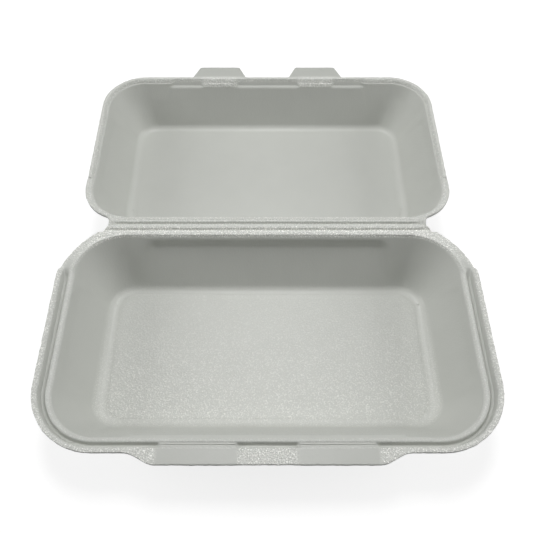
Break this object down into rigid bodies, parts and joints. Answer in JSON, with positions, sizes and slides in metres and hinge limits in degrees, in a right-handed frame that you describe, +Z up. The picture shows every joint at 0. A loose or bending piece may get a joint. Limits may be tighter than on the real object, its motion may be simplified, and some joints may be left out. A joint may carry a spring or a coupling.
{
  "type": "disposable lunch box",
  "caption": "Hinged take-away lunch box of white foam, standing open: deep base tray with a channelled rim and latch flap, and a matching lid with latch tabs.",
  "frame": {"origin": "centre of the base tray's underside, on the table", "axes": "+X along the hinge to the right, +Y from the latch flap across the hinge to the open lid, +Z up"},
  "size_m": [0.24, 0.2803, 0.0363],
  "materials": {
    "foam": "satin foamed polystyrene with a fine cell texture"
  },
  "bodies": {
    "base": {"base_tray": "foam"},
    "lid": {"lid": "foam"}
  },
  "joints": [
    {"name": "lid_hinge", "type": "hinge", "parent": "base", "child": "lid", "pos_m": [0, 0.067, 0.03515], "axis": [1, 0, 0], "range_deg": [0, 180]}
  ]
}
